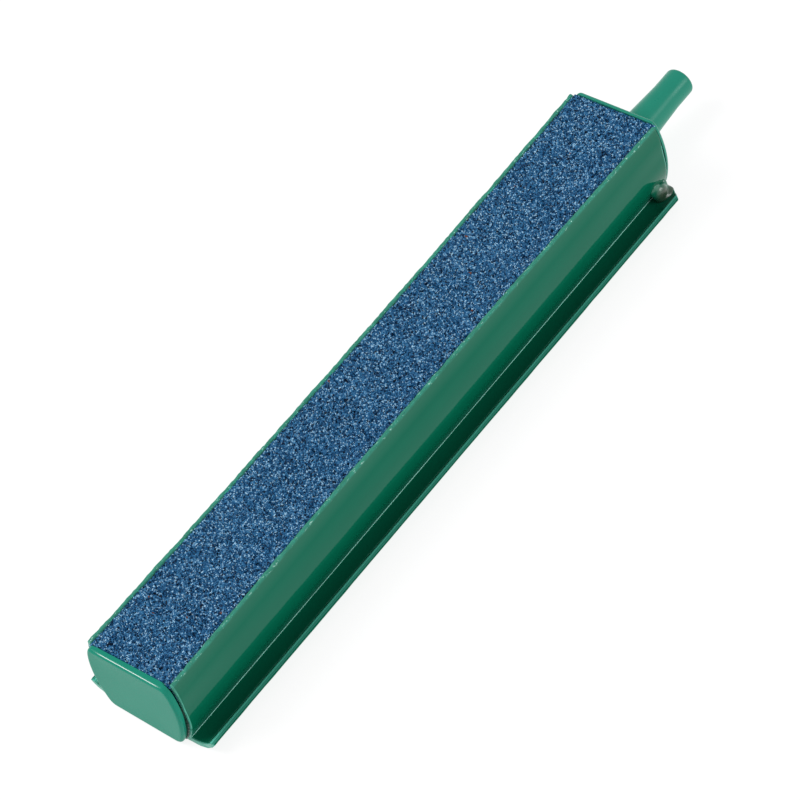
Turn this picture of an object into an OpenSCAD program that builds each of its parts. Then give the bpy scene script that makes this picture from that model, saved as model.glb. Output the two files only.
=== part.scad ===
// Bar air stone: a green plastic channel holding a bar of bonded grit, with a blank cap
// at one end and a hose nozzle at the other.
// X runs along the bar from the blank cap to the nozzle, Z is up, and the origin is
// under the middle of the bar on its flat underside.

/* [Channel] */
// Length of the channel between its sawn ends
channel_l = 113.4; // [60:0.1:300]
// Height of the channel and of the grit
body_h = 13.9; // [13:0.1:16]
// Half width of the egg-shaped body at its widest
body_half_w = 8.25; // [8.1:0.05:8.5]
// Height at which the body is widest
bulge_z = 6.7; // [6:0.1:7.2]
// Radius of the side walls above that height
side_r = 26.8; // [24:0.1:32]
// Radius of the side walls below that height
foot_r = 11.8; // [11:0.1:14]
// Thickness of the side walls
wall_t = 0.7; // [0.6:0.05:0.8]
// Thickness of the floor
floor_t = 1.0; // [0.8:0.05:1.1]

/* [Wings] */
// Half width at which the wings start to curve up
wing_start_y = 7.6; // [7.4:0.05:7.8]
// Thickness of the wings where they start
wing_foot_t = 1.03; // [0.95:0.01:1.1]
// Radius of a wing's underside
wing_under_r = 4.43; // [4.3:0.01:4.6]
// Radius of a wing's upper face
wing_upper_r = 4.28; // [4.15:0.01:4.4]
// Height of a wing's lip
lip_z = 2.4; // [2.2:0.05:2.8]
// Length of the corner cut off each wing at the nozzle end
wing_trim_l = 2.5; // [1:0.1:5]
// Half width at which that cut starts
wing_trim_y = 8.5; // [8.4:0.1:10]

/* [Stone] */
// Height of the ledges' upper faces, where the air strip lies
ledge_z = 8.2; // [8.1:0.1:9]
// Thickness of the ledges
ledge_t = 0.7; // [0.5:0.1:0.7]
// Distance of the ledges' edges from the middle
ledge_y = 6.7; // [6.2:0.1:6.9]
// Thickness of the air strip
strip_t = 0.7; // [0.5:0.1:1]
// Diameter of the air strip's holes
air_hole_d = 1.2; // [0.8:0.1:2]
// Distance between those holes
air_hole_pitch = 8; // [6:1:20]

/* [End caps] */
// How far the blank cap stands out of the channel
blank_proud = 1.25; // [1:0.05:2]
// How far the nozzle cap stands out of the channel
nozzle_proud = 1.15; // [1:0.05:2]
// Open joint between the blank cap's head and the channel
blank_gap = 0.35; // [0.2:0.05:0.5]
// The same at the nozzle cap
nozzle_gap = 0.45; // [0.2:0.05:0.5]
// Half width of the heads at their widest
head_half_w = 8.05; // [7.9:0.05:8.2]
// Height at which the heads are widest
head_bulge_z = 8; // [7.5:0.1:8.5]
// Radius of the heads' bulged sides
head_side_r = 19; // [17:0.5:22]
// Radius of the heads' corners
head_corner_r = 1.6; // [1:0.1:2]
// Bevel round the heads' outer faces
head_bevel = 0.4; // [0.2:0.05:0.5]
// Length of the spigots inside the channel
spigot_l = 5; // [3:0.5:10]
// Height of the spigots' upper faces
spigot_z = 7.4; // [7.3:0.05:7.45]
// Thickness of the glue film round the spigots
bond_t = 0.12; // [0.1:0.01:0.15]

/* [Hose nozzle] */
// Length of the nozzle from the cap's face
nozzle_l = 14.35; // [10:0.05:20]
// Radius of the nozzle at the cap's face
nozzle_root_r = 2.95; // [2.6:0.05:3.2]
// Radius of the straight length at the nozzle's tip
nozzle_tip_r = 2.35; // [2.1:0.05:2.5]
// Length of that straight length
nozzle_land_l = 4; // [3:0.5:6]
// Height of the nozzle's axis
nozzle_z = 5.6; // [5.4:0.1:5.8]
// Bevel at the nozzle's tip
nozzle_bevel = 0.4; // [0.2:0.05:0.5]
// Radius of the air bore
bore_r = 1.25; // [1:0.05:1.5]

/* [Hidden] */
$fn = 64;

green = "#2b8367";
cap_green = "#3fa184";
stone_blue = "#2f5f93";
glue_clear = "#6f8f7c";

total_l = blank_proud + channel_l + nozzle_proud + nozzle_l;
// The channel's ends and the faces of the heads, along X
x_blank = blank_proud - total_l / 2;
x_nozzle = x_blank + channel_l;
x_cap_face = x_nozzle + nozzle_proud;

// Axis of the bulge on a head's +Y side; the other side's is its mirror image
head_y = head_half_w - head_side_r;
stone_z = ledge_z + strip_t;
ledge_under_z = ledge_z - ledge_t;
head_bottom_z = 0.1;
overlap = 0.5;

// Half width across the lips
wing_tip_y = wing_start_y + sqrt(pow(wing_under_r, 2) - pow(wing_under_r - lip_z, 2));

// Joint bead: its outline inside the channel's, and its set-back from top and underside
bead_inset = 0.45;
bead_drop = 0.3;

// Glue bead in the groove at the nozzle end
glue_r = 1.7;
glue_l = 0.9;
glue_y = 7.85;
glue_z = 2.5;
glue_end_gap = 1.85;

// Lays a drawing of the Y-Z plane along X, from x over length l
module along_x(x, l) {
    translate([x, 0, 0]) rotate([90, 0, 90]) linear_extrude(l) children();
}

// The body's outline between two heights, inset from its outside: it bulges with side_r
// above its widest place and with foot_r below it
module barrel(inset, z_low, z_high) {
    if (z_high > bulge_z) bulged(side_r, inset, max(z_low, bulge_z), z_high);
    if (z_low < bulge_z) bulged(foot_r, inset, z_low, min(z_high, bulge_z));
}

// A band between two heights whose ends are arcs of radius r
module bulged(r, inset, z_low, z_high) {
    intersection() {
        translate([body_half_w - r, bulge_z]) circle(r - inset);
        translate([r - body_half_w, bulge_z]) circle(r - inset);
        translate([-body_half_w, z_low]) square([2 * body_half_w, z_high - z_low]);
    }
}

// One wing: a curved plate that starts level and turns up to its lip
module wing() {
    intersection() {
        difference() {
            translate([wing_start_y, wing_under_r]) circle(wing_under_r);
            translate([wing_start_y, wing_foot_t + wing_upper_r]) circle(wing_upper_r);
        }
        translate([wing_start_y, 0]) square([wing_under_r, lip_z]);
    }
}

module both_sides() {
    children();
    mirror([1, 0]) children();
}

// Ribs inside the walls that carry the air strip
module ledges() {
    difference() {
        barrel(wall_t / 2, ledge_under_z, ledge_z);
        translate([-ledge_y, ledge_under_z]) square([2 * ledge_y, ledge_t]);
    }
}

module channel_outline() {
    difference() {
        barrel(0, 0, body_h);
        barrel(wall_t, floor_t, body_h + overlap);
    }
    ledges();
    translate([-wing_start_y, 0]) square([2 * wing_start_y, wing_foot_t]);
    both_sides() wing();
}

// The corner cut off one wing at the nozzle end
module wing_trim() {
    slope = wing_trim_l / (wing_tip_y - wing_trim_y);
    translate([0, 0, -overlap])
        linear_extrude(lip_z + 2 * overlap)
        polygon([
            [x_nozzle, wing_trim_y],
            [x_nozzle + overlap, wing_trim_y],
            [x_nozzle + overlap, wing_tip_y + overlap],
            [x_nozzle - wing_trim_l - slope * overlap, wing_tip_y + overlap]
        ]);
}

module channel() {
    color(green)
    difference() {
        along_x(x_blank, channel_l) channel_outline();
        wing_trim();
        mirror([0, 1, 0]) wing_trim();
    }
}

// Perforated strip between the air duct and the grit
module air_strip() {
    holes = floor((channel_l / 2 - 2 * spigot_l) / air_hole_pitch);
    color("silver")
    difference() {
        along_x(x_blank, channel_l) barrel(wall_t, ledge_z, stone_z);
        for (i = [-holes : holes]) {
            translate([(x_blank + x_nozzle) / 2 + i * air_hole_pitch, 0, ledge_z - overlap])
                cylinder(h = strip_t + 2 * overlap, d = air_hole_d);
        }
    }
}

// Bonded grit, cast between the walls; it also fills the joint at the nozzle cap
module stone() {
    color(stone_blue)
    along_x(x_blank, channel_l + nozzle_gap) barrel(wall_t, stone_z, body_h);
}

// A slab of a cap's head along X, whose outline is inset by inset_a at x and inset_b at x + l
module head_slab(x, l, inset_a, inset_b) {
    difference() {
        intersection() {
            head_side(x, l, inset_a, inset_b);
            mirror([0, 1, 0]) head_side(x, l, inset_a, inset_b);
            rotate([90, 0, 0]) linear_extrude(2 * body_half_w, center = true) polygon([
                [x, head_bottom_z + inset_a],
                [x, body_h - inset_a],
                [x + l, body_h - inset_b],
                [x + l, head_bottom_z + inset_b]
            ]);
        }
        for (z_side = [-1, 1]) {
            head_corner(x, l, inset_a, inset_b, z_side);
            mirror([0, 1, 0]) head_corner(x, l, inset_a, inset_b, z_side);
        }
    }
}

// The bulged side of a head, as a cone round the bulge's axis
module head_side(x, l, inset_a, inset_b) {
    translate([x, head_y, head_bulge_z]) rotate([0, 90, 0])
        cylinder(h = l, r1 = head_side_r - inset_a, r2 = head_side_r - inset_b, $fn = 256);
}

// What is cut away outside a head's round corner: the top one if z_side is 1, or the bottom one
module head_corner(x, l, inset_a, inset_b, z_side) {
    r = head_corner_r;
    edge_z = z_side > 0 ? body_h : head_bottom_z;
    centre_z = edge_z - z_side * r;
    rise = centre_z - head_bulge_z;
    reach = sqrt(pow(head_side_r - r, 2) - pow(rise, 2));
    turn = atan2(rise, reach);
    difference() {
        along_x(x, l) translate([head_y + reach, centre_z]) polygon([
            [0, 0],
            [0, z_side * 2 * r],
            [2 * r, z_side * 2 * r],
            [2 * r * cos(turn), 2 * r * sin(turn)]
        ]);
        translate([x, head_y + reach, centre_z]) rotate([0, 90, 0])
            cylinder(h = l, r1 = r - inset_a, r2 = r - inset_b);
    }
}

// The head of a cap, standing from x = 0 outwards along -X, with a bevelled face
module head(thickness) {
    head_slab(head_bevel - thickness, thickness - head_bevel, 0, 0);
    head_slab(-thickness, head_bevel, head_bevel, 0);
}

// The part of a cap that fits inside the walls, up to a height
module neck_outline(z_high) {
    barrel(wall_t + bond_t, floor_t + bond_t, z_high);
}

module blank_cap() {
    color(cap_green)
    union() {
        translate([x_blank - blank_gap, 0, 0]) head(blank_proud - blank_gap);
        along_x(x_blank - blank_gap, blank_gap) neck_outline(body_h);
        along_x(x_blank, spigot_l) neck_outline(spigot_z);
    }
}

// Tapered hose nozzle with a straight length at its tip, along +X from the cap's face
module nozzle() {
    translate([x_cap_face, 0, nozzle_z]) rotate([0, 90, 0])
        rotate_extrude()
        polygon([
            [0, -overlap],
            [nozzle_root_r, -overlap],
            [nozzle_root_r, 0],
            [nozzle_tip_r, nozzle_l - nozzle_land_l],
            [nozzle_tip_r, nozzle_l - nozzle_bevel],
            [nozzle_tip_r - nozzle_bevel, nozzle_l],
            [0, nozzle_l]
        ]);
}

module nozzle_cap() {
    bore_l = spigot_l + nozzle_proud + nozzle_l;
    color(cap_green)
    difference() {
        union() {
            translate([x_nozzle + nozzle_gap, 0, 0]) mirror([1, 0, 0])
                head(nozzle_proud - nozzle_gap);
            along_x(x_nozzle - spigot_l, spigot_l) neck_outline(spigot_z);
            along_x(x_nozzle, nozzle_gap) neck_outline(stone_z);
            nozzle();
        }
        translate([x_nozzle - spigot_l - overlap, 0, nozzle_z]) rotate([0, 90, 0])
            cylinder(h = bore_l + 2 * overlap, r = bore_r);
    }
}

// Glue in the open joint between a head and the channel
module bead_outline() {
    barrel(bead_inset, floor_t - bead_drop, body_h - bead_drop);
}

// Glue film between a spigot and the channel
module film_outline() {
    difference() {
        barrel(wall_t, floor_t, ledge_under_z);
        neck_outline(spigot_z);
    }
}

module blank_cap_bond() {
    color(glue_clear)
    union() {
        along_x(x_blank - blank_gap, blank_gap) difference() {
            bead_outline();
            neck_outline(body_h);
        }
        along_x(x_blank, spigot_l) film_outline();
    }
}

module nozzle_cap_bond() {
    color(glue_clear)
    union() {
        along_x(x_nozzle, nozzle_gap) difference() {
            bead_outline();
            neck_outline(stone_z);
            barrel(wall_t, stone_z, body_h);
        }
        along_x(x_nozzle - spigot_l, spigot_l) film_outline();
    }
}

// Glue squeezed out into one wing's groove at the nozzle end
module corner_glue() {
    x_far = x_nozzle - glue_end_gap;
    color(glue_clear)
    difference() {
        translate([x_far - glue_l, -glue_y, glue_z]) rotate([0, 90, 0]) union() {
            cylinder(h = glue_l, r = glue_r);
            sphere(glue_r);
            translate([0, 0, glue_l]) sphere(glue_r);
        }
        along_x(x_blank, channel_l) union() {
            barrel(0, 0, body_h);
            channel_outline();
            translate([-wing_tip_y, -glue_r]) square([2 * wing_tip_y, glue_r]);
        }
        wing_underside_clear();
    }
}

// Space below a wing, which the glue doesn't enter
module wing_underside_clear() {
    along_x(x_blank, channel_l) difference() {
        translate([-wing_tip_y, 0]) square([wing_tip_y - wing_start_y, wing_under_r]);
        translate([-wing_start_y, wing_under_r]) circle(wing_under_r);
    }
}

channel();
air_strip();
stone();
blank_cap();
nozzle_cap();
blank_cap_bond();
nozzle_cap_bond();
corner_glue();
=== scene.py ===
import math

import bmesh
import bpy
import numpy as np
from mathutils import Matrix, Vector
from mathutils.geometry import tessellate_polygon


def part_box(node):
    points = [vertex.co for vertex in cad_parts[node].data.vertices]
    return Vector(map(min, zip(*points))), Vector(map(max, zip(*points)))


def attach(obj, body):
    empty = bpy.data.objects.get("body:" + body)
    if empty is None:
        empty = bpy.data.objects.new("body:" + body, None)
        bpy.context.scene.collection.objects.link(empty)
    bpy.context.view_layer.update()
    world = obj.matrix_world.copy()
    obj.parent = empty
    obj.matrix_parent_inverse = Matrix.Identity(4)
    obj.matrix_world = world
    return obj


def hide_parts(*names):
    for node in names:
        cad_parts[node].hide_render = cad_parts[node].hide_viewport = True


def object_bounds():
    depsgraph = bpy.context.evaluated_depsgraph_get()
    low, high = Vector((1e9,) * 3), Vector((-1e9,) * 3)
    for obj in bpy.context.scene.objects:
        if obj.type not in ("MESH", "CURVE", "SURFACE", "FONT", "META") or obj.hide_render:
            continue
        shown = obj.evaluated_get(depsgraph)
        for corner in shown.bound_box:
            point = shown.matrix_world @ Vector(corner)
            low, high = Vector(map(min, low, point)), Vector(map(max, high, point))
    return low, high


# Bar air stone. Shapes are worked out in millimetres in the CAD frame: +X runs along the
# bar towards the hose nozzle, +Z is up, and the origin is under the middle of the bar.
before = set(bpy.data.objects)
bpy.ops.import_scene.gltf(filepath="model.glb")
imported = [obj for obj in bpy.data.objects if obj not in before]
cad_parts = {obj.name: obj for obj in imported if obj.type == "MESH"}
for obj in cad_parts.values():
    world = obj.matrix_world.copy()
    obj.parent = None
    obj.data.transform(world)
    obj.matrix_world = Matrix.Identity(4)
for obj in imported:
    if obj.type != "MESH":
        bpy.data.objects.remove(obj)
cad_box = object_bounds()
MM = 0.001


def box_mm(node):
    """Lowest and highest corner of a CAD node, in millimetres."""
    return [np.array(corner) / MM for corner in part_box(node)]


# ---- Places taken from the frame ----
CHANNEL_LOW, CHANNEL_HIGH = box_mm("channel")
STONE_LOW, STONE_HIGH = box_mm("stone")
BLANK_LOW, BLANK_HIGH = box_mm("blank_cap")
NOZZLE_LOW, NOZZLE_HIGH = box_mm("nozzle_cap")
GLUE_LOW, GLUE_HIGH = box_mm("corner_glue")
X_BLANK = CHANNEL_LOW[0]
X_NOZZLE = CHANNEL_HIGH[0]
TOP_Z = CHANNEL_HIGH[2]
WING_Y = CHANNEL_HIGH[1]
X_HEAD = STONE_HIGH[0]
STONE_Z = STONE_LOW[2]

# ---- Section of the channel ----
BODY_HALF_W = 8.25
BULGE_Z = 6.7
SIDE_R = 26.8
FOOT_R = 11.8
WALL_T = 0.7
FLOOR_T = 1.0
WING_START_Y = 7.6
WING_FOOT_T = 1.03
WING_UNDER_R = 4.43
WING_UPPER_R = 4.28
LIP_Z = 2.4
WING_TRIM_L = 2.5
WING_TRIM_Y = 8.5
LEDGE_Y = 6.7
LEDGE_T = 0.7
LEDGE_Z = 8.2
WALL_TOP_DROP = 0.05
GRIT_SEAT_Y = 6.85
GRIT_SEAT_DROP = 0.5

# ---- Channel along its length: the most its wall tops spread, its rings and its sawn ends ----
SPLAY = 0.5
MIDDLE_RINGS = 436
SAWN_EDGE = 0.15
SAW_DEPTH = 0.1
WING_TRIM_RUN = 8

# ---- Shares of the pale colour on the channel's faces: painted highlights in the crease and on the lips' inner edges, painted light on the lip tops, paler wall feet, whitened sawn ends ----
FOOT_PALE = 0.2
LIP_PAINTED_LIGHT = 0.3
LIP_EDGE_HIGHLIGHT = 0.85
END_PALE = 0.3
END_EDGE_PALE = 0.45
CREASE_HIGHLIGHT_REACH = 0.13

# ---- Caps ----
NOZZLE_PROUD = 1.15
BLANK_GAP = 0.35
HEAD_HALF_W = 8.05
HEAD_BULGE_Z = 8.0
HEAD_SIDE_R = 19.0
HEAD_LOW_Z = 0.1
FILLET_R = 0.5
SPIGOT_L = 5.0
SPIGOT_Z = 7.4
BOND_T = 0.12
NECK_SLACK = 0.04
X_CAP_FACE = X_NOZZLE + NOZZLE_PROUD
NOZZLE_Z = 5.6
NOZZLE_ROOT_R = 2.95
NOZZLE_TIP_R = 2.35
NOZZLE_LAND_L = 4.0
NOZZLE_FLARE_R = 0.3
NOZZLE_ROUND_R = 0.55
BORE_R = 1.25

# ---- How the blank head sits askew: turned in, spread, leaning and raised on its far side ----
HEAD_TURN = 0.2
HEAD_SPREAD = 1.02
HEAD_LEAN = 0.76
HEAD_STILL = 0.92
HEAD_RISE = 0.6

# ---- The painted highlight along the blank head's top front edge ----
HIGHLIGHT_PALE = 0.85
HIGHLIGHT_DEPTH = 0.6
HIGHLIGHT_HALF_L = 4.6
HIGHLIGHT_FADE = 1.6
HIGHLIGHT_LEAN = (51, 65)

# ---- Grit ----
GRAIN = 0.28
GRAIN_CELLS = (480, 80)
GRIT_STEP = 0.14
GRIT_GRID = (812, 104)
GRIT_TOP_Z = TOP_Z - 0.13
GRIT_HALF_W = 6.93
GRIT_PAST_BLANK = 0.22
GRIT_PAST_HEAD = 0.12
GRIT_EDGE_DROP = 0.32
GRIT_EDGE_W = 0.34


# ======== Curves and noise ========

def noise_2d(u, v, seed):
    """Smooth random field from -1 to 1 with bumps about 1 wide in u and in v."""
    size = 512
    grid = np.random.default_rng(seed).uniform(-1, 1, (size, size))
    u, v = np.broadcast_arrays(np.asarray(u, float), np.asarray(v, float))
    iu, iv = np.floor(u).astype(int), np.floor(v).astype(int)
    fu, fv = u - iu, v - iv
    fu, fv = fu * fu * (3 - 2 * fu), fv * fv * (3 - 2 * fv)
    low = grid[iu % size, iv % size] * (1 - fu) + grid[(iu + 1) % size, iv % size] * fu
    high = grid[iu % size, (iv + 1) % size] * (1 - fu)
    high = high + grid[(iu + 1) % size, (iv + 1) % size] * fu
    return low * (1 - fv) + high * fv


def smooth_step(x):
    """0 below 0, 1 above 1 and smooth between."""
    x = np.clip(x, 0, 1)
    return x * x * (3 - 2 * x)


def arc(centre, radius, start, end, count=40):
    """Points along an arc, with its angles in radians from +Y towards +Z."""
    turn = np.linspace(start, end, count)
    return np.array(centre) + radius * np.column_stack([np.cos(turn), np.sin(turn)])


def line(*points):
    """Straight run, or a chain of them, through the points given."""
    return np.array(points, float)


def wall_y(z, inset=0.0):
    """Half width of the egg-shaped body at height z, inset from its outside."""
    above = np.asarray(z) - BULGE_Z
    r = np.where(above > 0, SIDE_R, FOOT_R)
    return BODY_HALF_W - r + np.sqrt((r - inset) ** 2 - above ** 2)


def head_y(z):
    """Half width of a cap's head at height z."""
    above = np.asarray(z) - HEAD_BULGE_Z
    return HEAD_HALF_W - HEAD_SIDE_R + np.sqrt(HEAD_SIDE_R ** 2 - above ** 2)


def splay(x, z):
    """How far the walls are pushed out at x and z: their tops spread towards both ends."""
    u = np.abs(2 * x - X_BLANK - X_NOZZLE) / (X_NOZZLE - X_BLANK)
    return SPLAY * np.clip(u, 0, 1) ** 2.2 * smooth_step((z - 7.5) / 5.5)


def side(z_from, z_to, inset=0.0, count=60, half_width=wall_y):
    """The body's right side from one height to another, or that of a head."""
    z = np.linspace(z_from, z_to, count)
    y = half_width(z, inset) if half_width is wall_y else half_width(z)
    return np.column_stack([y, z])


def resampled(run, cut_start, cut_end, step):
    """The run without its first and last stretch, with its points about step apart."""
    gaps = np.linalg.norm(np.diff(run, axis=0), axis=1)
    length = np.concatenate([[0], np.cumsum(gaps)])
    span = length[-1] - cut_start - cut_end
    at = cut_start + np.linspace(0, span, max(2, math.ceil(span / step) + 1))
    return np.column_stack([np.interp(at, length, run[:, k]) for k in range(2)])


def closed_outline(runs):
    """Closed outline from runs that meet at corners. A run is (points, step, corner),
    where corner says how far the corner after it is rounded on its own and the next run."""
    pieces = [
        resampled(points, runs[i - 1][2][1], corner[0], step)
        for i, (points, step, corner) in enumerate(runs)
    ]
    outline = []
    for i, (points, _, corner) in enumerate(runs):
        outline.append(pieces[i][:-1])
        if max(corner) == 0:
            continue
        start, tip, end = pieces[i][-1], points[-1], pieces[(i + 1) % len(runs)][0]
        steps = min(10, max(3, math.ceil(max(corner) / 0.14)))
        t = (np.arange(steps) / steps)[:, None]
        outline.append((1 - t) ** 2 * start + 2 * t * (1 - t) * tip + t ** 2 * end)
    return np.vstack(outline)


def symmetric(runs):
    """Closed outline whose right half is made of the runs, from the bottom's middle up."""
    left = []
    for i in reversed(range(len(runs))):
        points, step, _ = runs[i]
        corner = runs[i - 1][2][::-1] if i else (0, 0)
        left.append((points[::-1] * [-1, 1], step, corner))
    return closed_outline(runs + left)


def normals_of(outline):
    """Outward normals of a closed outline that runs anticlockwise."""
    ahead = np.roll(outline, -1, axis=0) - outline
    behind = outline - np.roll(outline, 1, axis=0)
    tangent = ahead / np.linalg.norm(ahead, axis=1)[:, None]
    tangent += behind / np.linalg.norm(behind, axis=1)[:, None]
    tangent /= np.linalg.norm(tangent, axis=1)[:, None]
    return np.column_stack([tangent[:, 1], -tangent[:, 0]])


def inset(outline, distance):
    """The outline moved inwards all round."""
    return outline - normals_of(outline) * distance


# ======== Meshes ========

def mesh_piece(name, points, faces, sharp_angle=32):
    """Closed mesh object from points in millimetres, smooth but for edges over an angle."""
    mesh = bpy.data.meshes.new(name)
    mesh.from_pydata((np.asarray(points) * MM).tolist(), [], faces)
    work = bmesh.new()
    work.from_mesh(mesh)
    bmesh.ops.recalc_face_normals(work, faces=work.faces)
    work.to_mesh(mesh)
    work.free()
    if sharp_angle:
        mesh.shade_smooth()
        mesh.set_sharp_from_angle(angle=math.radians(sharp_angle))
    piece = bpy.data.objects.new(name, mesh)
    bpy.context.scene.collection.objects.link(piece)
    return piece


def face_values(mesh, name):
    """A property of each face that has three parts, such as its centre, one row per face."""
    values = np.zeros(len(mesh.polygons) * 3)
    mesh.polygons.foreach_get(name, values)
    return values.reshape(-1, 3)


def paint(mesh, name, values):
    """Stores a value for each face under a name that a material can read."""
    attribute = mesh.attributes.new(name, "FLOAT", "FACE")
    attribute.data.foreach_set("value", values.astype(np.float32))


def loft(rings, first=0, fan=True):
    """Points and faces of a closed solid through rings of points, all of one count. Its ends
    are fans round a middle point, or are cut into triangles where a fan would cross them."""
    rings = np.asarray(rings, float)
    rows, count = rings.shape[:2]
    points = rings.reshape(-1, 3)
    index = first + np.arange(rows * count).reshape(rows, count)
    a, b = index[:-1], index[1:]
    quads = np.stack([a, np.roll(a, -1, 1), np.roll(b, -1, 1), b], axis=-1)
    faces = quads.reshape(-1, 4).tolist()
    for row in (0, rows - 1):
        ring = rings[row]
        if fan:
            middle = first + len(points)
            points = np.vstack([points, (ring.min(axis=0) + ring.max(axis=0)) / 2])
            faces += [[int(index[row, k - 1]), int(index[row, k]), middle] for k in range(count)]
            continue
        for triangle in tessellate_polygon([[Vector(p) for p in ring]]):
            faces.append([int(index[row, k]) for k in triangle])
    return points, faces


def loop_loft(rings, first=0):
    """The same for rings that close on themselves, as round a ring-shaped bead."""
    rings = np.asarray(rings, float)
    rows, count = rings.shape[:2]
    index = first + np.arange(rows * count).reshape(rows, count)
    a, b = index, np.roll(index, -1, 0)
    quads = np.stack([a, np.roll(a, -1, 1), np.roll(b, -1, 1), b], axis=-1)
    return rings.reshape(-1, 3), quads.reshape(-1, 4).tolist()


def at_x(outline, x):
    """A ring in space: a Y-Z outline placed at x, which may differ from point to point."""
    return np.column_stack([np.broadcast_to(x, len(outline)), outline])


def lathe(profile, segments):
    """Rings round the nozzle's axis from (x, radius) pairs."""
    turn = np.linspace(0, 2 * np.pi, segments, endpoint=False)
    circle = np.column_stack([np.cos(turn), np.sin(turn)])
    return [at_x(circle * r + [0, NOZZLE_Z], x) for x, r in profile]


def weld(mesh, gap=2e-3):
    """Joins points that lie within a gap, in millimetres, and drops faces of no area."""
    work = bmesh.new()
    work.from_mesh(mesh)
    bmesh.ops.remove_doubles(work, verts=work.verts, dist=gap * MM)
    bmesh.ops.dissolve_degenerate(work, edges=work.edges, dist=gap * MM)
    work.to_mesh(mesh)
    work.free()


def combine(name, base, others, operation, sharp_angle=32):
    """One mesh from the base and the other pieces, which are used up."""
    for other in others:
        modifier = base.modifiers.new("combine", "BOOLEAN")
        modifier.operation = operation
        modifier.solver = "EXACT"
        modifier.object = other
    bpy.context.view_layer.update()
    graph = bpy.context.evaluated_depsgraph_get()
    mesh = bpy.data.meshes.new_from_object(base.evaluated_get(graph))
    mesh.name = name
    weld(mesh)
    mesh.shade_smooth()
    mesh.set_sharp_from_angle(angle=math.radians(sharp_angle))
    piece = bpy.data.objects.new(name, mesh)
    bpy.context.scene.collection.objects.link(piece)
    for used in [base, *others]:
        bpy.data.objects.remove(used)
    return piece


def finished(piece, material, slot, *nodes):
    """Gives a piece its material and its body, and hides the CAD nodes it stands for. The slot it
    is given is not used.
    """
    piece.data.materials.clear()
    piece.data.materials.append(material)
    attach(piece, "root")
    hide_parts(*nodes)
    return piece


# ======== Channel ========

def channel_section():
    """Closed outline of the channel with its wings, ledges and a sloped seat for the grit."""
    under_end = math.asin((LIP_Z - WING_UNDER_R) / WING_UNDER_R)
    upper_z = WING_FOOT_T + WING_UPPER_R
    upper_start = math.asin((LIP_Z - upper_z) / WING_UPPER_R)
    under = arc((WING_START_Y, WING_UNDER_R), WING_UNDER_R, -math.pi / 2, under_end)
    upper = arc((WING_START_Y, upper_z), WING_UPPER_R, upper_start, -math.pi / 2)
    crease = line((wall_y(WING_FOOT_T), WING_FOOT_T))
    top = TOP_Z - WALL_TOP_DROP
    seat = (wall_y(top, WALL_T) + 0.02, top - GRIT_SEAT_DROP)
    ledge_under = LEDGE_Z - LEDGE_T
    runs = [
        (np.vstack([line((0, 0)), under]), 0.8, (0.3, 0.24)),
        (line(under[-1], upper[0]), 0.3, (0.16, 0.16)),
        (np.vstack([upper, crease]), 0.36, (0.16, 0.16)),
        (side(WING_FOOT_T, top), 0.42, (0.1, 0.1)),
        (line((wall_y(top), top), (GRIT_SEAT_Y, top)), 0.3, (0.08, 0.08)),
        (line((GRIT_SEAT_Y, top), seat), 0.3, (0, 0)),
        (np.vstack([line(seat), side(seat[1] - 0.05, LEDGE_Z, WALL_T)]), 2.6, (0.1, 0.1)),
        (line((wall_y(LEDGE_Z, WALL_T), LEDGE_Z), (LEDGE_Y, LEDGE_Z)), 0.6, (0.1, 0.1)),
        (line((LEDGE_Y, LEDGE_Z), (LEDGE_Y, ledge_under)), 0.6, (0.1, 0.1)),
        (line((LEDGE_Y, ledge_under), (wall_y(ledge_under, WALL_T), ledge_under)),
         0.6, (0.1, 0.1)),
        (side(ledge_under, FLOOR_T, WALL_T), 2.2, (0.3, 0.3)),
        (line((wall_y(FLOOR_T, WALL_T), FLOOR_T), (0, FLOOR_T)), 6.0, (0, 0)),
    ]
    return symmetric(runs)


def paleness(section):
    """How pale each strip of the channel's outside is: painted highlights in its creases and on
    its lips' inner edges, painted light on its lip tops, and paler wall feet.
    """
    middle = (section + np.roll(section, -1, axis=0)) / 2
    y, z = np.abs(middle[:, 0]), middle[:, 1]
    on_foot = (y < wall_y(z) + 0.03) & (z > WING_FOOT_T)
    pale = np.where(on_foot, FOOT_PALE * (1 - smooth_step((z - 1.1) / 2.6)), 0)
    # The lip tops are painted lighter, as painted light, and their inner edges carry a painted
    # highlight.
    on_lip = (z > LIP_Z - 0.26) & (y > WING_Y - 1.05) & (y < WING_Y - 0.2)
    pale = np.where(on_lip, np.where(y < WING_Y - 0.6, LIP_EDGE_HIGHLIGHT, LIP_PAINTED_LIGHT), pale)
    # A painted highlight runs along the crease between wall and wing.
    from_crease = np.hypot(y - wall_y(WING_FOOT_T), z - WING_FOOT_T)
    on_crease = (from_crease < CREASE_HIGHLIGHT_REACH) & (y < wall_y(WING_FOOT_T) + 0.1)
    return np.where(on_crease, 1.0, pale)


def channel_rings():
    """Positions of the rings along the channel: two at each end round its sawn edges."""
    low, high = X_BLANK + SAWN_EDGE, X_NOZZLE - SAWN_EDGE
    inner = np.linspace(low + SAWN_EDGE, high - SAWN_EDGE, MIDDLE_RINGS)
    return np.concatenate([[X_BLANK, low], inner, [high, X_NOZZLE]])


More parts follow.
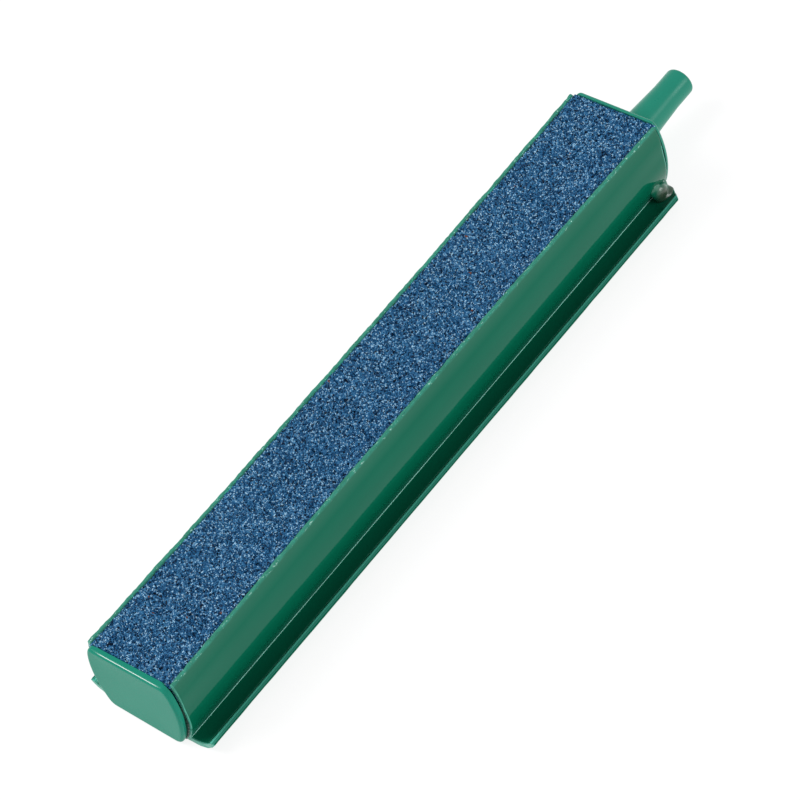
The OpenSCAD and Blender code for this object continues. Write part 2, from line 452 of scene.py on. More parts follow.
def channel_shell():
    """The extruded channel: slightly wavy faces, rough top edges and sawn ends."""
    section = channel_section()
    normal = normals_of(section)
    along = np.concatenate([[0], np.cumsum(np.linalg.norm(np.diff(section, axis=0), axis=1))])
    near_top = smooth_step((section[:, 1] - TOP_Z + 0.35) / 0.25)
    near_lip = smooth_step((np.abs(section[:, 0]) - WING_Y + 0.8) / 0.5)
    past_trim = (np.abs(section[:, 0]) - WING_TRIM_Y) / (WING_Y - WING_TRIM_Y)
    past_trim = np.clip(past_trim, 0, 1)
    outside = np.sign(section[:, 0])
    rings = []
    xs = channel_rings()
    for k, x in enumerate(xs):
        wave = 0.018 * noise_2d(x / 17, along / 7, 11) + 0.006 * noise_2d(x / 3.1, along / 2, 12)
        burr = 0.045 * noise_2d(x / 1.9, outside * 3.3, 13)
        burr = burr + 0.035 * noise_2d(x / 0.5, outside * 5.1, 14)
        push = wave + near_top * burr + near_lip * 0.02 * noise_2d(x / 2.3, outside, 15)
        bevel = 0.05 if k in (0, len(xs) - 1) else 0.015 if k in (1, len(xs) - 2) else 0.0
        ring = section + normal * (push - bevel)[:, None]
        ring[:, 1] = ring[:, 1] + near_top * 0.6 * burr
        near_nozzle = np.clip((x - X_NOZZLE + WING_TRIM_RUN) / WING_TRIM_RUN, 0, 1)
        trim = past_trim * WING_TRIM_L * near_nozzle
        saw = 0.0
        if k in (0, len(xs) - 1):
            ragged = noise_2d(along / 0.9, x, 16) + 0.6 * noise_2d(along / 0.3, x, 17)
            saw = math.copysign(SAW_DEPTH, -x) * np.clip(ragged, 0, 1)
        ring_x = np.clip(x - trim + saw, X_BLANK, X_NOZZLE)
        ring[:, 0] = ring[:, 0] + outside * splay(x, ring[:, 1])
        ring[:, 0] = np.clip(ring[:, 0], -WING_Y, WING_Y)
        ring[:, 1] = np.clip(ring[:, 1], 0, TOP_Z)
        rings.append(at_x(ring, ring_x))
    points, faces = loft(rings, fan=False)
    piece = mesh_piece("channel_shell", points, faces, 40)
    # Paint the strips' paleness: painted highlights and painted light from paleness(), and
    # whitened sawn ends.
    pale = np.tile(paleness(section), (len(rings) - 1, 1))
    on_wing = np.abs(section[:, 0]) > WING_START_Y + 0.4
    pale[[0, -1]] = np.where(on_wing, np.maximum(pale[0], END_EDGE_PALE), pale[0])
    ends = np.full(len(faces) - pale.size, END_PALE)
    paint(piece.data, "pale", np.concatenate([pale.ravel(), ends]))
    return piece


# ======== Grit ========

def grain_field(x, y, seed=21):
    """For points of a plane: the grain that each lies on, its place from the grain's middle
    and its distance to the joint with the next grain."""
    cells_x, cells_y = GRAIN_CELLS
    rng = np.random.default_rng(seed)
    offset = rng.uniform(0.12, 0.88, (cells_x, cells_y, 2))
    u, v = x / GRAIN + cells_x / 2, y / GRAIN + cells_y / 2
    iu, iv = np.floor(u).astype(int), np.floor(v).astype(int)
    best = np.full(u.shape, 1e9)
    second = np.full(u.shape, 1e9)
    grain = np.zeros(u.shape + (2,), int)
    place = np.zeros(u.shape + (2,))
    for du in (-1, 0, 1):
        for dv in (-1, 0, 1):
            cu, cv = (iu + du) % cells_x, (iv + dv) % cells_y
            to_u = u - (iu + du + offset[cu, cv, 0])
            to_v = v - (iv + dv + offset[cu, cv, 1])
            far = np.hypot(to_u, to_v)
            closer = far < best
            second = np.where(closer, best, np.minimum(second, far))
            best = np.where(closer, far, best)
            grain = np.where(closer[..., None], np.stack([cu, cv], -1), grain)
            place = np.where(closer[..., None], np.stack([to_u, to_v], -1), place)
    return grain, place * GRAIN, (second - best) * GRAIN


def grain_values(grain, low, high, seed):
    """A random value for each grain, the same wherever that grain is asked for."""
    table = np.random.default_rng(seed).uniform(low, high, GRAIN_CELLS)
    return table[grain[..., 0], grain[..., 1]]


def grit_height(x, y):
    """Height of the grit's top: tilted grains with grooves between them."""
    grain, place, joint = grain_field(x, y)
    height = grain_values(grain, -0.13, 0.06, 31)
    tilt = grain_values(grain, -0.55, 0.55, 32) * place[..., 0]
    tilt = tilt + grain_values(grain, -0.55, 0.55, 33) * place[..., 1]
    groove = 0.12 * (1 - smooth_step(joint / 0.11))
    pit = 0.22 * (grain_values(grain, 0, 1, 34) > 0.955)
    swell = 0.035 * noise_2d(x / 2.6, y / 2.6, 35) + 0.03 * noise_2d(x / 9, y / 9, 36)
    return GRIT_TOP_Z + height + tilt + swell - groove - pit


def paint_grains(mesh):
    """Gives each face the tone of its grain, says which grains are rusty, and marks scattered
    faces for a painted glint.
    """
    middle = face_values(mesh, "center") / MM
    grain, _, joint = grain_field(middle[:, 0], middle[:, 1])
    tone = 0.5 + 0.66 * (grain_values(grain, 0, 1, 41) - 0.5)
    rng = np.random.default_rng(42)
    tone = np.clip(tone + rng.normal(0, 0.33, len(tone)), 0, 1)
    tone = np.where(joint < 0.05, tone * 0.75, tone)
    tone = np.where(grain_values(grain, 0, 1, 44) > 0.985, 0, tone)
    rusty = (grain_values(grain, 0, 1, 43) > 0.9995).astype(float)
    # Scattered faces are marked for painted glints: highlights painted into the colour.
    glint = (rng.uniform(0, 1, len(tone)) > 0.985).astype(float)
    for name, values in (("tone", tone), ("rusty", rusty), ("glint", glint)):
        paint(mesh, name, values)


def grit_bar():
    """The bonded grit: a mass of single grains, ragged where it meets the plastic."""
    start, end = X_BLANK - GRIT_PAST_BLANK, X_HEAD + GRIT_PAST_HEAD
    xs = np.linspace(start, end, GRIT_GRID[0])
    ys = np.linspace(-GRIT_HALF_W, GRIT_HALF_W, GRIT_GRID[1])
    x, y = np.meshgrid(xs, ys, indexing="ij")
    rng = np.random.default_rng(22)
    shake = rng.uniform(-0.28, 0.28, x.shape + (2,)) * GRIT_STEP
    shake[0], shake[-1] = 0, 0
    x, y = x + shake[..., 0], y + shake[..., 1]
    z = grit_height(x, y)
    edge = np.minimum(GRIT_HALF_W - np.abs(y), np.minimum(x - start, end - x))
    z = z - GRIT_EDGE_DROP * (1 - smooth_step(edge / GRIT_EDGE_W))
    z = np.minimum(z, TOP_Z)

    down = np.array([13.35, 12.6, 11.4, 10.2, STONE_Z])
    right = np.column_stack([wall_y(down, WALL_T + 0.02), down])
    under = line((4, STONE_Z), (0, STONE_Z), (-4, STONE_Z))
    left = (right * [-1, 1])[::-1]
    below = np.vstack([right, under, left])
    x_below = np.interp(xs, [start, end], [X_BLANK, X_HEAD])
    rings = []
    for k in range(len(xs)):
        top = np.column_stack([x[k], y[k], z[k]])
        ring = np.vstack([top, at_x(below, x_below[k])])
        ring[:, 1] *= 1 + splay(xs[k], ring[:, 2]) / GRIT_HALF_W
        rings.append(ring[::-1])
    points, faces = loft(rings)
    piece = mesh_piece("grit_bar", points, faces, 0)
    paint_grains(piece.data)
    return piece


# ======== End caps ========

def head_outline():
    """Outline of a cap's head, rounder at its top corners than at its bottom ones."""
    top = TOP_Z - WALL_TOP_DROP
    runs = [
        (line((0, HEAD_LOW_Z), (head_y(HEAD_LOW_Z), HEAD_LOW_Z)), 0.5, (1.1, 1.1)),
        (side(HEAD_LOW_Z, top, half_width=head_y), 0.3, (1.7, 0.9)),
        (line((head_y(top), top), (0, top)), 0.35, (0, 0)),
    ]
    return symmetric(runs)


def neck_outline(z_high, slack=0.0):
    """Outline of what fits inside the walls, up to a height and with a little slack."""
    fit, low = WALL_T + BOND_T + slack, FLOOR_T + BOND_T + slack
    runs = [
        (line((0, low), (wall_y(low, fit), low)), 0.8, (0.5, 0.5)),
        (side(low, z_high, fit), 0.5, (0.5, 0.5)),
        (line((wall_y(z_high, fit), z_high), (0, z_high)), 0.5, (0, 0)),
    ]
    return symmetric(runs)


def head_solid(x_back, thickness, way):
    """A head with a filleted face that is very slightly dished. way is -1 or 1 along X."""
    outline = head_outline()
    profile = [(0.0, 0.03), (0.03, 0.0), (0.15, 0.0), (thickness - FILLET_R, 0.0)]
    for turn in np.linspace(0, math.pi / 2, 8)[1:]:
        rise = FILLET_R * math.sin(turn)
        profile.append((thickness - FILLET_R + rise, FILLET_R * (1 - math.cos(turn))))
    rings = [at_x(inset(outline, d), x_back + way * t) for t, d in profile]
    middle = np.array([0, TOP_Z / 2])
    for scale, dish in ((0.97, 0.004), (0.85, 0.025), (0.6, 0.045), (0.3, 0.055)):
        face = middle + (inset(outline, FILLET_R) - middle) * scale
        rings.append(at_x(face, x_back + way * (thickness - dish)))
    points, faces = loft(rings)
    return mesh_piece("head", points, faces)


def spigot_solid(x_from, x_to, z_high, slack=0.0):
    """The part of a cap that stands in the channel, with its far edge eased."""
    way = math.copysign(1, x_to - x_from)
    outline = neck_outline(z_high, slack)
    rings = [
        at_x(outline, x_from),
        at_x(outline, (x_from + x_to) / 2),
        at_x(outline, x_to - way * 0.25),
        at_x(inset(outline, 0.08), x_to - way * 0.07),
        at_x(inset(outline, 0.25), x_to),
    ]
    points, faces = loft(rings)
    return mesh_piece("spigot", points, faces)


def blank_neck():
    """Neck between the blank head and the grit, sloped at the top for the grit's edge."""
    x_from = X_BLANK - BLANK_GAP - 0.2
    top = TOP_Z - WALL_TOP_DROP - 0.015
    outline = neck_outline(top, NECK_SLACK)
    low = outline.copy()
    low[:, 1] = np.minimum(low[:, 1], top - GRIT_SEAT_DROP)
    rings = [at_x(outline, x_from), at_x(outline, X_BLANK - 0.12), at_x(low, X_BLANK + 0.02)]
    points, faces = loft(rings)
    return mesh_piece("neck", points, faces)


def set_askew(head):
    """The blank head's set: fuller low on its far side, with that end of its foot raised."""
    count = len(head.data.vertices)
    places = np.zeros(count * 3)
    head.data.vertices.foreach_get("co", places)
    x, y, z = (places.reshape(-1, 3) / MM).T
    far = np.clip((y + 7) / 14, 0, 1)
    turned_x = x + HEAD_TURN * far
    leaning_y = HEAD_SPREAD * y + HEAD_LEAN * (HEAD_STILL - z / TOP_Z)
    raised_z = z + HEAD_RISE * (1 - z / TOP_Z) * far
    places = np.column_stack([turned_x, leaning_y, raised_z]) * MM
    head.data.vertices.foreach_set("co", places.ravel())


def painted_edge_highlight(mesh):
    """How pale each face of the blank cap is: a painted highlight along the top of its front edge.
    """
    x, y, z = (face_values(mesh, "center") / MM).T
    normal = face_values(mesh, "normal")
    lean = np.degrees(np.arctan2(normal[:, 2], -normal[:, 0]))
    on_fillet = (lean > HIGHLIGHT_LEAN[0]) & (lean < HIGHLIGHT_LEAN[1])
    on_edge = on_fillet & (z > TOP_Z - HIGHLIGHT_DEPTH) & (x < X_BLANK - BLANK_GAP)
    along = (np.abs(y + 0.3) - HIGHLIGHT_HALF_L) / HIGHLIGHT_FADE
    return HIGHLIGHT_PALE * on_edge * (1 - smooth_step(along))


def blank_end_cap():
    """The blank cap: head, neck and spigot in one moulding."""
    head = head_solid(X_BLANK - BLANK_GAP, X_BLANK - BLANK_GAP - BLANK_LOW[0], -1)
    set_askew(head)
    spigot = spigot_solid(X_BLANK - BLANK_GAP - 0.2, X_BLANK + SPIGOT_L, SPIGOT_Z)
    cap = combine("blank_end_cap", head, [blank_neck(), spigot], "UNION")
    # Paint the highlight along the top front edge into the cap's colour.
    paint(cap.data, "pale", painted_edge_highlight(cap.data))
    return cap


def nozzle_profile():
    """(x, radius) pairs along the nozzle: a small flare, the taper, the land and its tip."""
    length = NOZZLE_HIGH[0] - X_CAP_FACE
    taper_l = length - NOZZLE_LAND_L
    flare, tip = NOZZLE_FLARE_R, NOZZLE_ROUND_R
    profile = [(X_CAP_FACE - 0.2, NOZZLE_ROOT_R + flare)]
    for turn in np.linspace(0, math.pi / 2, 7):
        x = X_CAP_FACE + flare * (1 - math.cos(turn))
        profile.append((x, NOZZLE_ROOT_R + flare * (1 - math.sin(turn))))
    for t in np.linspace(0.08, 1, 22):
        r = NOZZLE_ROOT_R + (NOZZLE_TIP_R - NOZZLE_ROOT_R) * t
        profile.append((X_CAP_FACE + taper_l * t, r))
    for t in np.linspace(0.2, 1, 6):
        x = X_CAP_FACE + taper_l + (NOZZLE_LAND_L - tip) * t
        profile.append((x, NOZZLE_TIP_R))
    for turn in np.linspace(0, math.pi / 2, 9)[1:]:
        x = NOZZLE_HIGH[0] - tip * (1 - math.sin(turn))
        profile.append((x, NOZZLE_TIP_R - tip * (1 - math.cos(turn))))
    return profile


def bore_solid():
    """The air bore, a little countersunk at the nozzle's mouth."""
    mouth = NOZZLE_HIGH[0]
    profile = [
        (X_NOZZLE - SPIGOT_L - 1, BORE_R),
        (X_NOZZLE, BORE_R),
        (mouth - 0.3, BORE_R),
        (mouth - 0.1, BORE_R + 0.1),
        (mouth + 0.1, BORE_R + 0.35),
    ]
    points, faces = loft(lathe(profile, 96))
    return mesh_piece("bore", points, faces)


def nozzle_end_cap():
    """The cap with the hose nozzle, and the air bore right through it."""
    head = head_solid(X_HEAD, X_CAP_FACE - X_HEAD, 1)
    neck = spigot_solid(X_HEAD + 0.15, X_NOZZLE - 0.1, STONE_Z - 0.02, NECK_SLACK)
    spigot = spigot_solid(X_HEAD + 0.2, X_NOZZLE - SPIGOT_L, SPIGOT_Z)
    points, faces = loft(lathe(nozzle_profile(), 128))
    nozzle = mesh_piece("nozzle", points, faces)
    solid = combine("solid", head, [neck, spigot, nozzle], "UNION")
    return combine("nozzle_end_cap", solid, [bore_solid()], "DIFFERENCE")


# ======== Glue ========

def joint_bead(x_low, x_high, top_depth, seed):
    """Rings of an uneven glue bead that runs round the open joint behind a head."""
    low, high = 0.25, TOP_Z - 0.15
    runs = [
        (line((0, low), (wall_y(low), low)), 0.25, (0.6, 0.6)),
        (side(low, high), 0.16, (0.6, 0.6)),
        (line((wall_y(high), high), (0, high)), 0.25, (0, 0)),
    ]
    outline = symmetric(runs)
    inward = -normals_of(outline)
    deep = np.where(outline[:, 1] > STONE_Z, top_depth, WALL_T + BOND_T + 0.03)
    along = np.arange(len(outline)) * 0.16
    uneven = 0.1 * noise_2d(along / 1.3, 0.5, seed) + 0.07 * noise_2d(along / 0.35, 0.5, seed + 1)
    rings = []
    for p, n, d, w in zip(outline, inward, deep, uneven):
        section = []
        for share, depth in ((0, 0.36), (0.25, 0.46), (0.5, 0.5), (0.75, 0.46), (1, 0.36)):
            place = p + n * min(depth + w, d - 0.04)
            section.append([x_low + (x_high - x_low) * share, *place])
        for share in (1, 0):
            section.append([x_low + (x_high - x_low) * share, *(p + n * d)])
        rings.append(section)
    return rings


def spigot_film(x_low, x_high):
    """Rings of the thin glue layer between a spigot and the channel."""
    z_high = LEDGE_Z - LEDGE_T
    outer, inner = WALL_T + 0.01, WALL_T + BOND_T - 0.01
    wide = side(z_high, FLOOR_T, outer, 14)
    narrow = side(FLOOR_T + BOND_T, z_high, inner, 14)
    half = np.vstack([wide, line((0, FLOOR_T))])
    back = np.vstack([line((0, FLOOR_T + BOND_T - 0.01)), narrow])
    outer_line = np.vstack([half, (wide * [-1, 1])[::-1]])
    inner_line = np.vstack([(narrow * [-1, 1])[::-1], back])
    outline = np.vstack([outer_line, inner_line])
    return [at_x(outline, x) for x in np.linspace(x_low, x_high, 12)]


def joint_glue(name, bead, film):
    """One piece from a bead and the film that continues it along the spigot."""
    bead_points, bead_faces = loop_loft(bead)
    film_points, film_faces = loft(film, len(bead_points), fan=False)
    return mesh_piece(name, np.vstack([bead_points, film_points]), bead_faces + film_faces, 50)


def blank_joint_glue():
    """Glue in the open joint behind the blank head and round its spigot."""
    bead = joint_bead(X_BLANK - BLANK_GAP + 0.01, X_BLANK - 0.01, WALL_T + BOND_T + 0.03, 51)
    return joint_glue("blank_joint_glue", bead, spigot_film(X_BLANK + 0.02, X_BLANK + SPIGOT_L))


def nozzle_joint_glue():
    """Glue in the joint behind the nozzle's head and round its spigot."""
    bead = joint_bead(X_NOZZLE + 0.01, X_HEAD - 0.01, WALL_T - 0.02, 53)
    return joint_glue("nozzle_joint_glue", bead, spigot_film(X_NOZZLE - SPIGOT_L, X_NOZZLE - 0.02))


def wing_top_z(y):
    """Height of a wing's upper face at half width y."""
    beyond = np.clip(y - WING_START_Y, 0, WING_UPPER_R - 0.01)
    return WING_FOOT_T + WING_UPPER_R - np.sqrt(WING_UPPER_R ** 2 - beyond ** 2)


def lobed_ball(middle, lobes, reach):
    """Points and faces of a smooth lump round a middle point. A lobe is a centre and three
    radii, and lobes that come near each other run together."""
    work = bmesh.new()
    bmesh.ops.create_icosphere(work, subdivisions=6, radius=1)
    way = np.array([v.co[:] for v in work.verts])
    faces = [[v.index for v in f.verts] for f in work.faces]
    work.free()
    near, far = np.zeros(len(way)), np.full(len(way), reach)
    for _ in range(24):
        half_way = (near + far) / 2
        place = middle + way * half_way[:, None]
        field = sum(
            np.exp(2.2 * (1 - (((place - centre) / radii) ** 2).sum(axis=1)))
            for centre, radii in lobes
        )
        near = np.where(field > 1, half_way, near)
        far = np.where(field > 1, far, half_way)
    return middle + way * near[:, None], faces


def corner_glue_blob():
    """The glue bead squeezed into the groove between wall and wing at the nozzle end."""
    end = GLUE_HIGH[0]
    middle = np.array([end - 2.2, -7.95, 2.1])
    lobes = [
        (middle, np.array([1.4, 0.95, 1.3])),
        (np.array([end - 3.0, -7.7, 3.2]), np.array([0.95, 0.5, 1.0])),
        (np.array([end - 0.6, -7.2, 1.9]), np.array([0.65, 0.85, 1.4])),
        (np.array([end - 1.5, -8.2, 1.2]), np.array([1.7, 1.1, 0.55])),
    ]
    points, faces = lobed_ball(middle, lobes, 4.0)
    points[:, 1] += 0.05 * noise_2d(points[:, 0] * 1.4, points[:, 2] * 1.4, 61)
    half = -points[:, 1]
    wall = wall_y(np.clip(points[:, 2], 0, TOP_Z)) - 0.12
    half = np.maximum(half, wall)
    points[:, 1] = -half
    points[:, 2] = np.maximum(points[:, 2], wing_top_z(half) - 0.12)
    points[:, 0] = np.clip(points[:, 0], GLUE_LOW[0], end)
    return mesh_piece("corner_glue_blob", points, faces, 60)


# ======== Materials ========

class Graph:
    """A material's nodes, with short calls to add them and to link them."""

    def __init__(self, name):
        self.material = bpy.data.materials.new(name)
        self.material.use_nodes = True
        self.nodes = self.material.node_tree.nodes
        self.shader = self.nodes["Principled BSDF"]

    def add(self, kind, settings=None, **inputs):
        """A new node, with its settings made and its inputs fed."""
        made = self.nodes.new("ShaderNode" + kind)
        for name, value in (settings or {}).items():
            setattr(made, name, value)
        for name, value in inputs.items():
            self.feed(made, name.replace("_", " "), value)
        return made

    def feed(self, target, name, value):
        """Sets an input, or links it if the value is another node's output."""
        socket = target.inputs[name]
        if isinstance(value, bpy.types.NodeSocket):
            self.material.node_tree.links.new(value, socket)
        else:
            socket.default_value = value

    def surface(self, **inputs):
        """Feeds the surface shader's inputs."""
        for name, value in inputs.items():
            self.feed(self.shader, name.replace("_", " "), value)

    def place(self, scale):
        """Object coordinates in metres, scaled by three factors."""
        where = self.add("TexCoord").outputs["Object"]
        return self.add("Mapping", Vector=where, Scale=scale).outputs["Vector"]

    def noise(self, scale, detail=3.0, roughness=0.5):
        """Noise from 0 to 1 with scale bumps to the metre along each axis."""
        made = self.add("TexNoise", Vector=self.place(scale), Scale=1.0, Detail=detail)
        made.inputs["Roughness"].default_value = roughness
        return made.outputs["Fac"]

    def ramp(self, value, stops):
        """Colours between stops of (position, colour)."""
        made = self.add("ValToRGB", Fac=value)
        elements = made.color_ramp.elements
        while len(elements) < len(stops):
            elements.new(0.5)
        for element, (position, colour) in zip(elements, stops):
            element.position = position
            element.color = (*colour, 1.0)
        return made.outputs["Color"]

    def level(self, value, low, high, to_low=0.0, to_high=1.0):
        """A value's range spread over another, and held at its ends."""
        made = self.add("MapRange", {"clamp": True}, Value=value)
        for name, number in (("From Min", low), ("From Max", high),
                             ("To Min", to_low), ("To Max", to_high)):
            made.inputs[name].default_value = number
        return made.outputs["Result"]

    def maths(self, operation, a, b):
        """Two values or outputs combined by the operation named."""
        made = self.add("Math", {"operation": operation})
        for socket, value in zip(made.inputs, (a, b)):
            if isinstance(value, bpy.types.NodeSocket):
                self.material.node_tree.links.new(value, socket)
            else:
                socket.default_value = value
        return made.outputs["Value"]

    def mix(self, share, a, b):
        """Colour a where share is 0, and b where it is 1."""
        made = self.add("Mix", {"data_type": "RGBA"})
        colours = [s for s in made.inputs if s.type == "RGBA"]
        share_socket = made.inputs[0]
        for socket, value in zip((share_socket, *colours), (share, a, b)):
            if isinstance(value, bpy.types.NodeSocket):
                self.material.node_tree.links.new(value, socket)
            elif isinstance(value, tuple):
                socket.default_value = (*value, 1.0)
            else:
                socket.default_value = value
        return next(s for s in made.outputs if s.type == "RGBA")

    def bump(self, height, strength, distance):
        """Fine relief, with its depth in millimetres."""
        made = self.add("Bump", Height=height, Strength=strength, Distance=distance * MM)
        self.surface(Normal=made.outputs["Normal"])

    def painted(self, name):
        """The values painted on the faces under a name."""
        return self.add("Attribute", {"attribute_name": name}).outputs["Fac"]

    def axis(self, name):
        """One of the object coordinates, in metres."""
        where = self.add("TexCoord").outputs["Object"]
        return self.add("SeparateXYZ", Vector=where).outputs[name]


def srgb(red, green, blue):
    """Linear colour from display values of 0 to 255."""
    return tuple(
        c / 255 / 12.92 if c <= 10 else ((c / 255 + 0.055) / 1.055) ** 2.4
        for c in (red, green, blue)
    )


def channel_plastic():
    """Glossy extruded plastic: faint draw lines along X, pale scuffed top edges and ends, greyer
    wall tops, painted highlights along the crease and the lips' inner edges, and painted light on
    the lip tops.
    """
    g = Graph("channel_plastic")
    streaks = g.noise((6, 700, 700), 4.0, 0.6)
    cloud = g.noise((60, 160, 160), 3.0)
    base = g.mix(streaks, (0.001, 0.112, 0.060), (0.002, 0.129, 0.070))
    base = g.mix(g.level(cloud, 0.35, 0.7, 0.0, 0.5), base, (0.001, 0.107, 0.056))
    # Painted highlights, painted light on the lip tops, paler wall feet and whitened sawn ends,
    # all read from the faces' paleness.
    pale = g.painted("pale")
    line = g.mix(g.level(pale, 0.88, 1.0), (0.15, 0.72, 0.56), (0.42, 0.86, 0.74))
    base = g.mix(pale, base, line)
    # The wall tops turn paler and greyer over their last few millimetres.
    greyer_top = g.level(g.axis("Z"), (TOP_Z - 2.6) * MM, (TOP_Z - 0.4) * MM, 0.0, 0.11)
    base = g.mix(greyer_top, base, (0.28, 0.38, 0.32))
    at_top = g.level(g.axis("Z"), (TOP_Z - 0.5) * MM, (TOP_Z - 0.12) * MM)
    worn = g.level(g.noise((500, 1500, 1500), 4.0, 0.7), 0.3, 0.7, 0.25, 1.0)
    base = g.mix(g.maths("MULTIPLY", at_top, worn), base, (0.055, 0.30, 0.22))
    scuff = g.level(g.noise((1300, 2600, 2600), 4.0, 0.7), 0.6, 0.66)
    base = g.mix(g.maths("MULTIPLY", at_top, scuff), base, (0.42, 0.70, 0.60))
    from_middle = g.maths("ABSOLUTE", g.axis("X"), 0.0)
    sawn = g.level(from_middle, -(X_BLANK + 0.22) * MM, -(X_BLANK + 0.1) * MM)
    torn = g.level(g.noise((1500, 1500, 1500), 4.0, 0.7), 0.35, 0.68, 0.35, 1.0)
    base = g.mix(g.maths("MULTIPLY", sawn, torn), base, (0.10, 0.40, 0.30))
    g.surface(Base_Color=base, Roughness=0.07, Specular_IOR_Level=0.24)
    g.surface(Specular_Tint=(0.02, 1.0, 0.82, 1.0))
    g.bump(g.noise((12, 1400, 1400), 3.0), 0.05, 0.01)
    return g.material


def cap_plastic(name, roughness, gloss):
    """Satin moulded plastic, a little paler than the channel, with a painted highlight where faces
    are painted pale.
    """
    g = Graph(name)
    cloud = g.noise((220, 220, 220), 3.0)
    base = g.mix(cloud, (0.012, 0.228, 0.154), (0.017, 0.252, 0.172))
    # Faces painted pale carry a painted highlight: the blank head's top front edge.
    pale = g.painted("pale")
    base = g.mix(pale, base, (0.70, 0.86, 0.80))
    rough = g.level(g.noise((400, 400, 400), 3.0), 0.3, 0.7, roughness, roughness + 0.06)
    g.surface(Base_Color=base, Roughness=rough, Specular_IOR_Level=gloss)
    g.surface(Specular_Tint=(0.8, 1.0, 0.95, 1.0))
    g.bump(g.noise((900, 900, 900), 2.0), 0.05, 0.01)
    return g.material


def bonded_grit():
    """Blue bonded grit: each grain has its own tone; some are black or rusty, and scattered faces
    carry a painted glint.
    """
    g = Graph("bonded_grit")
    tone = g.painted("tone")
    rusty = g.painted("rusty")
    glint = g.painted("glint")
    stops = [
        (0.0, srgb(0, 4, 16)),
        (0.06, srgb(0, 32, 64)),
        (0.25, srgb(10, 70, 112)),
        (0.5, srgb(36, 96, 141)),
        (0.75, srgb(62, 125, 168)),
        (0.93, srgb(106, 162, 200)),
        (1.0, srgb(166, 210, 236)),
    ]
    base = g.ramp(tone, stops)
    dust = g.noise((5200, 5200, 5200), 2.0)
    base = g.mix(g.level(dust, 0.3, 0.7, 0.0, 0.3), base, srgb(6, 64, 108))
    # Painted glints: the marked faces are mixed towards near white.
    base = g.mix(g.maths("MULTIPLY", glint, 0.6), base, srgb(186, 222, 240))
    base = g.mix(rusty, base, srgb(112, 66, 50))
    rough = g.level(tone, 0.0, 1.0, 0.55, 0.3)
    g.surface(Base_Color=base, Roughness=rough, Specular_IOR_Level=0.16)
    g.bump(dust, 0.5, 0.06)
    return g.material


def joint_glue_clear():
    """Set glue in the narrow joints: very dark green, partly the glue's own colour and partly
    painted shade of the narrow joints, wet-looking, with a few pale spots that are painted glints.
    """
    g = Graph("joint_glue")
    # Pale spots are painted glints; the dark base also stands for the joints' shade.
    bits = g.level(g.noise((1100, 1100, 1100), 1.0), 0.72, 0.76)
    base = g.mix(bits, (0.002, 0.030, 0.019), (0.10, 0.30, 0.20))
    g.surface(Base_Color=base, Roughness=0.12, Specular_IOR_Level=0.12)
    g.surface(Specular_Tint=(0.2, 1.0, 0.8, 1.0))
    g.bump(g.noise((1500, 1500, 1500), 2.0), 0.3, 0.06)
    return g.material


def bead_glue_clear():
    """The same glue in a thick bead: grey-brown at its core, green where it is thin, and darker
    low down as painted shade in the crease.
    """
    g = Graph("bead_glue")
    cloud = g.noise((500, 500, 500), 2.0)
    base = g.mix(cloud, (0.038, 0.075, 0.048), (0.062, 0.092, 0.060))
    rim = g.level(g.axis("Y"), -(BODY_HALF_W + 0.5) * MM, -(BODY_HALF_W - 0.1) * MM)
    base = g.mix(rim, base, (0.006, 0.150, 0.085))
    # Painted shade: the bead is darker low down, where it sits in the crease.
    foot = g.level(g.axis("Z"), (WING_FOOT_T + 0.25) * MM, (WING_FOOT_T + 1.3) * MM, 1.0, 0.0)
    base = g.mix(foot, base, (0.010, 0.060, 0.030))
    g.surface(Base_Color=base, Roughness=0.3, Coat_Weight=0.4, Coat_Roughness=0.24)
    g.bump(g.noise((500, 500, 500), 1.0), 0.05, 0.04)
    return g.material


def strip_plastic():
    """Plain natural plastic of the perforated strip inside."""
    g = Graph("strip_plastic")
    streaks = g.noise((20, 900, 900), 3.0)
    base = g.mix(streaks, (0.50, 0.53, 0.50), (0.60, 0.61, 0.58))
    rough = g.level(streaks, 0.3, 0.7, 0.42, 0.55)
    g.surface(Base_Color=base, Roughness=rough)
    g.bump(streaks, 0.1, 0.03)
    return g.material


# ======== Stage, light and camera ========

def floor():
    """A plain white table top, lit a little from below like a product table."""
    bpy.ops.mesh.primitive_plane_add(size=6, location=(0, 0, -0.00002))
    plane = bpy.context.object
    plane.name = "floor"
    g = Graph("floor")
    g.surface(Base_Color=(0.18, 0.18, 0.18, 1), Roughness=0.7, Specular_IOR_Level=0.1)
    g.surface(Emission_Color=(1, 1, 1, 1), Emission_Strength=0.86)
    plane.data.materials.append(g.material)


def sky():
    """Studio surroundings: white low down and dimmer overhead."""
    world = bpy.data.worlds.new("studio")
    bpy.context.scene.world = world
    world.use_nodes = True
    nodes, links = world.node_tree.nodes, world.node_tree.links
    where = nodes.new("ShaderNodeTexCoord")
    split = nodes.new("ShaderNodeSeparateXYZ")
    ramp = nodes.new("ShaderNodeValToRGB")
    links.new(where.outputs["Generated"], split.inputs["Vector"])
    links.new(split.outputs["Z"], ramp.inputs["Fac"])
    links.new(ramp.outputs["Color"], nodes["Background"].inputs["Color"])
    low, high = ramp.color_ramp.elements
    low.position, low.color = 0.12, (0.80, 0.80, 0.80, 1)
    high.position, high.color = 0.6, (0.49, 0.49, 0.50, 1)
    nodes["Background"].inputs["Strength"].default_value = 1.0


def softbox(name, direction, distance, size, radiance):
    """A rectangular area light that faces the bar. radiance is in the world's own units."""
    light = bpy.data.lights.new(name, "AREA")
    light.shape = "RECTANGLE"
    light.size, light.size_y = size
    light.energy = radiance * math.pi * size[0] * size[1]
    lamp = bpy.data.objects.new(name, light)
    bpy.context.scene.collection.objects.link(lamp)
    way = Vector(direction).normalized()
    lamp.location = way * distance
    lamp.rotation_euler = (-way).to_track_quat("-Z", "Y").to_euler()


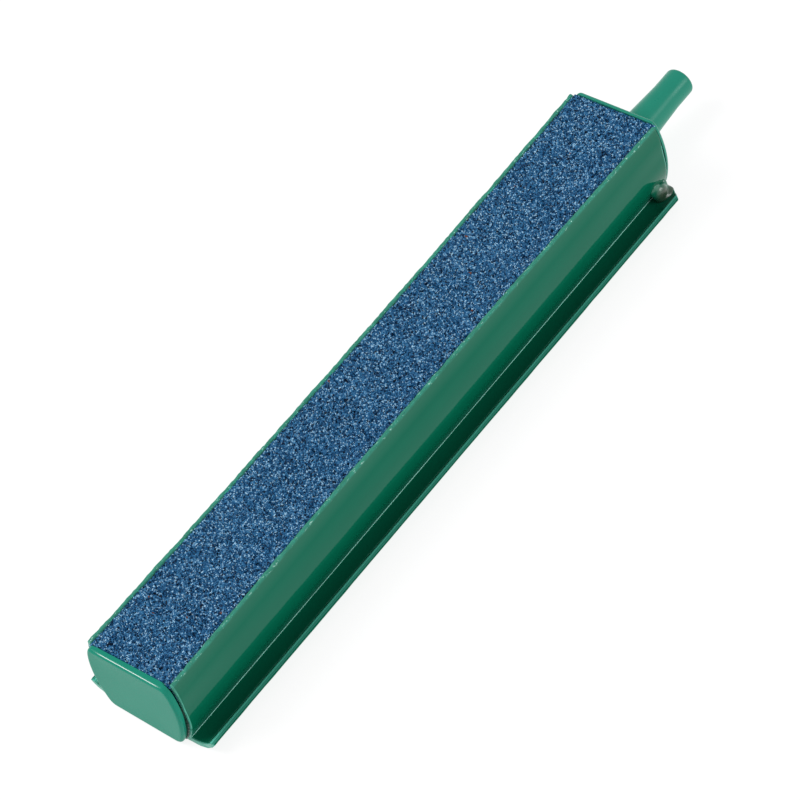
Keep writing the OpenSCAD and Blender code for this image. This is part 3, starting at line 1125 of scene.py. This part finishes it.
def lights():
    """A key light on the far left and a fill on the near right."""
    softbox("key_left", (-0.40, 0.524, 0.752), 0.8, (0.4, 0.4), 8.0)
    softbox("right_fill", (0.46, -0.78, 0.42), 0.8, (0.36, 0.24), 6.4)


def camera():
    """Long lens from the blank cap's side and above, turned a little about its own axis."""
    azimuth, elevation, roll = (math.radians(a) for a in (-37.94, 48.31, 18.90))
    distance = 0.55335
    low, high = cad_box
    aim = (low + high) / 2 + Vector((-5.69, -0.46, 0.05)) * MM
    back = Vector((
        math.sin(azimuth) * math.cos(elevation),
        -math.cos(azimuth) * math.cos(elevation),
        math.sin(elevation),
    ))
    right = Vector((0, 0, 1)).cross(back).normalized()
    level_up = back.cross(right)
    up = level_up * math.cos(roll) + right * math.sin(roll)
    across = up.cross(back)
    data = bpy.data.cameras.new("camera")
    data.lens = 174.83
    data.sensor_width = 36.0
    data.clip_start, data.clip_end = 0.01, 20
    made = bpy.data.objects.new("camera", data)
    bpy.context.scene.collection.objects.link(made)
    turn = Matrix((across, up, back)).transposed()
    made.matrix_world = Matrix.Translation(aim + back * distance) @ turn.to_4x4()
    bpy.context.scene.camera = made


# ======== The whole ========

camera()
floor()
sky()
lights()
bpy.context.scene.view_settings.view_transform = "Standard"

joint_clear = joint_glue_clear()
finished(channel_shell(), channel_plastic(), "channel_plastic", "channel")
finished(grit_bar(), bonded_grit(), "bonded_grit", "stone")
blank_green = cap_plastic("blank_cap_plastic", 0.20, 0.05)
finished(blank_end_cap(), blank_green, "cap_plastic", "blank_cap")
nozzle_green = cap_plastic("nozzle_cap_plastic", 0.27, 0.26)
finished(nozzle_end_cap(), nozzle_green, "cap_plastic", "nozzle_cap")
finished(blank_joint_glue(), joint_clear, "clear_glue", "blank_cap_bond")
finished(nozzle_joint_glue(), joint_clear, "clear_glue", "nozzle_cap_bond")
finished(corner_glue_blob(), bead_glue_clear(), "clear_glue", "corner_glue")
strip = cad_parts["air_strip"]
strip.data.materials.clear()
strip.data.materials.append(strip_plastic())
